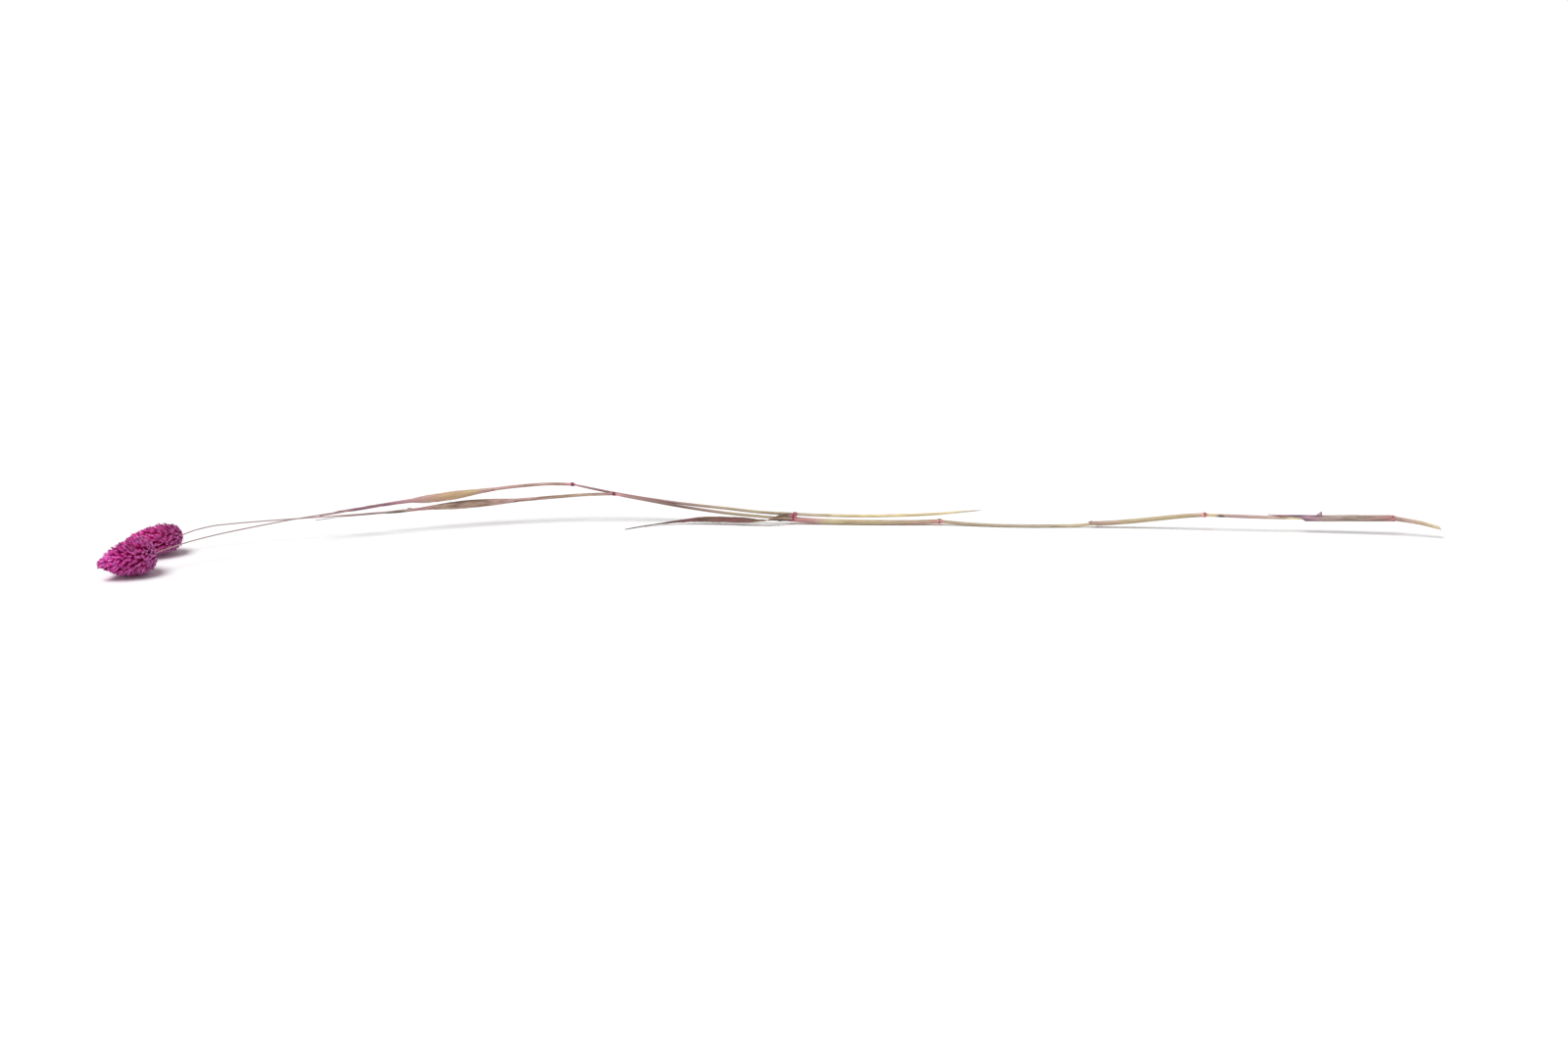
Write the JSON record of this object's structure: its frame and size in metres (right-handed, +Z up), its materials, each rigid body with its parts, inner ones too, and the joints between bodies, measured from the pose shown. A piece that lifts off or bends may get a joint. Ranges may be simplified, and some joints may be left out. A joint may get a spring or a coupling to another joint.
{
  "type": "dried canary grass",
  "caption": "Dried, dyed canary grass lying on a surface: slender jointed culms with ovoid seed heads, rolled sheaths and curled leaf blades, clasped together by one leaf.",
  "frame": {"origin": "on the surface that the grass lies on, under the middle of its bounding box", "axes": "+Z up from the surface, +X towards the cut end of the main culm, the heads at -X and turned a little towards -Y"},
  "size_m": [0.6881, 0.109, 0.0215],
  "materials": {
    "main_culm": "dry satin straw, finely grooved, tinted mauve towards the head",
    "side_culm": "dry satin straw, pale yellow at its broken tip, mauve towards the head",
    "main_head": "matte papery glumes dyed deep magenta, paler at the keels",
    "side_head": "matte papery glumes dyed magenta, paler at the keels",
    "flag_leaf": "matte dry leaf, olive tan with pink margins and fine veins",
    "middle_leaf": "matte dry leaf, tan sheath and reddish brown blade, fine veins",
    "sheath": "satin dry sheath, straw with grey and purple stains, fine veins"
  },
  "bodies": {
    "root": {"main_stem": "main_culm", "side_stem": "side_culm", "main_head": "main_head", "side_head": "side_head", "main_flag_leaf": "flag_leaf", "side_flag_leaf": "flag_leaf", "middle_leaf": "middle_leaf", "lower_sheath": "sheath", "base_sheath": "sheath"}
  },
  "joints": []
}
